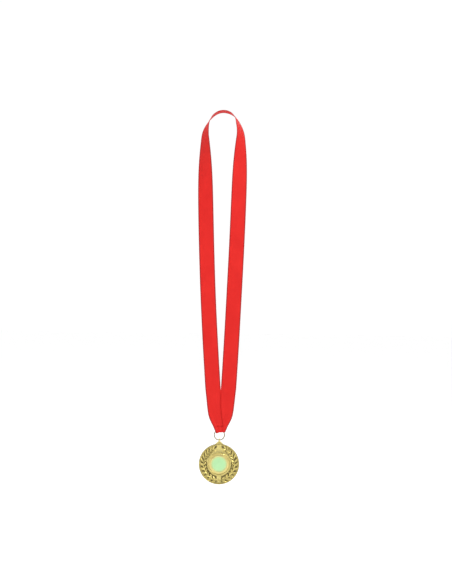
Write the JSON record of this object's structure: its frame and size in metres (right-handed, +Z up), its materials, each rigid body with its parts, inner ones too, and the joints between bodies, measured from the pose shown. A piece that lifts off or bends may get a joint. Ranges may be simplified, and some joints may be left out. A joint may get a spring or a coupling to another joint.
{
  "type": "medal",
  "caption": "Round cast medal with a laurel wreath and a blank centre emblem, hung by a split ring from a woven neck ribbon.",
  "frame": {"origin": "under the top of the ribbon's loop, on the middle line, where a peg or a neck carries it", "axes": "+Z up, the medal hangs down along -Z; the front faces -Y; +X to the right as seen from the front"},
  "size_m": [0.0592, 0.019, 0.4625],
  "materials": {
    "ribbon": "woven, slightly ribbed",
    "thread": "twisted thread",
    "ring": "bright plated wire",
    "gold_plate": "gold plated casting, polished on the high points",
    "adhesive": "foam tape",
    "emblem_metal": "gold anodised, satin",
    "emblem_colour": "smooth satin enamel"
  },
  "bodies": {
    "ribbon": {"ribbon_neck": "ribbon", "ribbon_strap_left": "ribbon", "ribbon_strap_right": "ribbon"},
    "ribbon_end": {"ribbon_fold": "ribbon", "seam_stitching": "thread"},
    "ring": {"jump_ring": "ring"},
    "medal": {"medal_body": "gold_plate", "emblem_adhesive": "adhesive", "emblem_plate": "emblem_metal", "emblem_field": "emblem_colour"}
  },
  "joints": [
    {"name": "ribbon_bend", "type": "hinge", "parent": "ribbon", "child": "ribbon_end", "pos_m": [0, 0, -0.363], "axis": [1, 0, 0], "range_deg": [-50, 50]},
    {"name": "ring_slide", "type": "hinge", "parent": "ribbon_end", "child": "ring", "pos_m": [0, 0, -0.4008], "axis": [0, 1, 0], "range_deg": [-60, 60]},
    {"name": "medal_swing", "type": "hinge", "parent": "ring", "child": "medal", "pos_m": [0, 0, -0.4071], "axis": [1, 0, 0], "range_deg": [-110, 110]}
  ]
}
